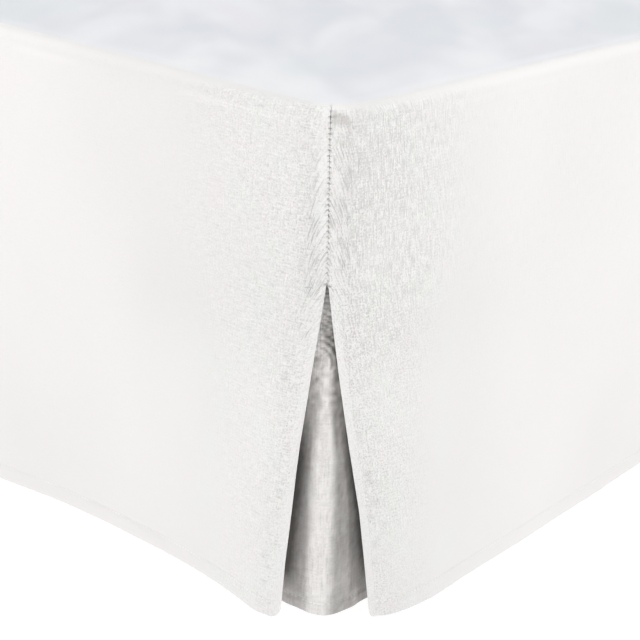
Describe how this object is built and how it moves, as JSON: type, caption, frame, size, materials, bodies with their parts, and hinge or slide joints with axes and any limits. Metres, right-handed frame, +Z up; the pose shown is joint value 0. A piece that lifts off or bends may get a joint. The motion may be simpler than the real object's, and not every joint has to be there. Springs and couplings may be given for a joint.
{
  "type": "bed skirt on a box spring bed base",
  "caption": "Tailored white bed skirt with split foot corners and pleat underlays, hanging over a plain box spring on a wooden frame.",
  "frame": {"origin": "on the floor, under the centre of the whole object's bounding box", "axes": "+X across the bed, +Y towards the head of the bed, +Z up"},
  "size_m": [1.592, 2.0639, 0.3808],
  "materials": {
    "white_cloth": "matt white linen-look weave",
    "deck_cloth": "thin matt pale blue-white lining cloth",
    "spring_cover": "plain matt woven cover",
    "plain_wood": "plain satin timber"
  },
  "bodies": {
    "root": {"foot_panel": "white_cloth", "side_panel_right": "white_cloth", "side_panel_left": "white_cloth", "pleat_underlay_right": "white_cloth", "pleat_underlay_left": "white_cloth", "deck": "deck_cloth", "box_spring": "spring_cover", "side_rail_right": "plain_wood", "side_rail_left": "plain_wood", "cross_rail_foot": "plain_wood", "cross_rail_middle": "plain_wood", "cross_rail_head": "plain_wood", "leg_foot_right": "plain_wood", "leg_foot_left": "plain_wood", "leg_middle_right": "plain_wood", "leg_middle_left": "plain_wood", "leg_head_right": "plain_wood", "leg_head_left": "plain_wood", "leg_centre": "plain_wood"}
  },
  "joints": []
}
